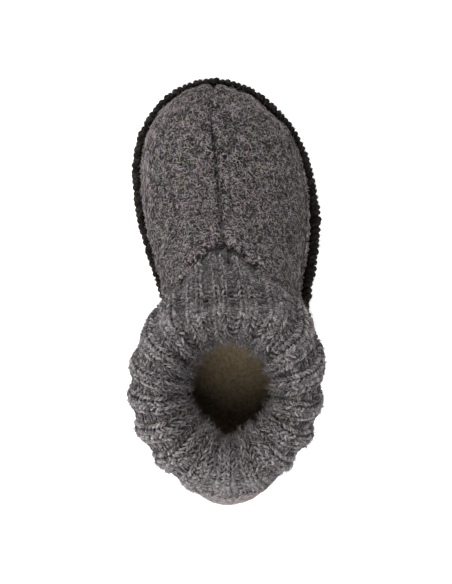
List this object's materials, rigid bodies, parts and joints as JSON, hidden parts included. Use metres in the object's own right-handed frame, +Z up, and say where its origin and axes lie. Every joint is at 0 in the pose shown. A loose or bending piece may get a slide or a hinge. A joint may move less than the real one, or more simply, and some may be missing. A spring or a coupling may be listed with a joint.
{
  "type": "wool slipper",
  "caption": "Child's right wool slipper: grey felt foot with a centre seam, black yarn edge round the sole and a ribbed knitted ankle shaft rolled in at the mouth.",
  "frame": {"origin": "on the ground, under the middle of the slipper's box", "axes": "+Y to the toe, +X to the lateral (little toe) side, +Z up"},
  "size_m": [0.0839, 0.1884, 0.1004],
  "materials": {
    "outsole": null,
    "insole": "matt olive-brown felt",
    "upper": "hairy grey melange wool felt",
    "edge_binding": "matt near-black chunky yarn",
    "shaft": "grey melange wool knitted in two by two rib"
  },
  "bodies": {
    "root": {"outsole": "outsole", "insole": "insole", "upper": "upper", "edge_binding": "edge_binding", "shaft": "shaft"}
  },
  "joints": []
}
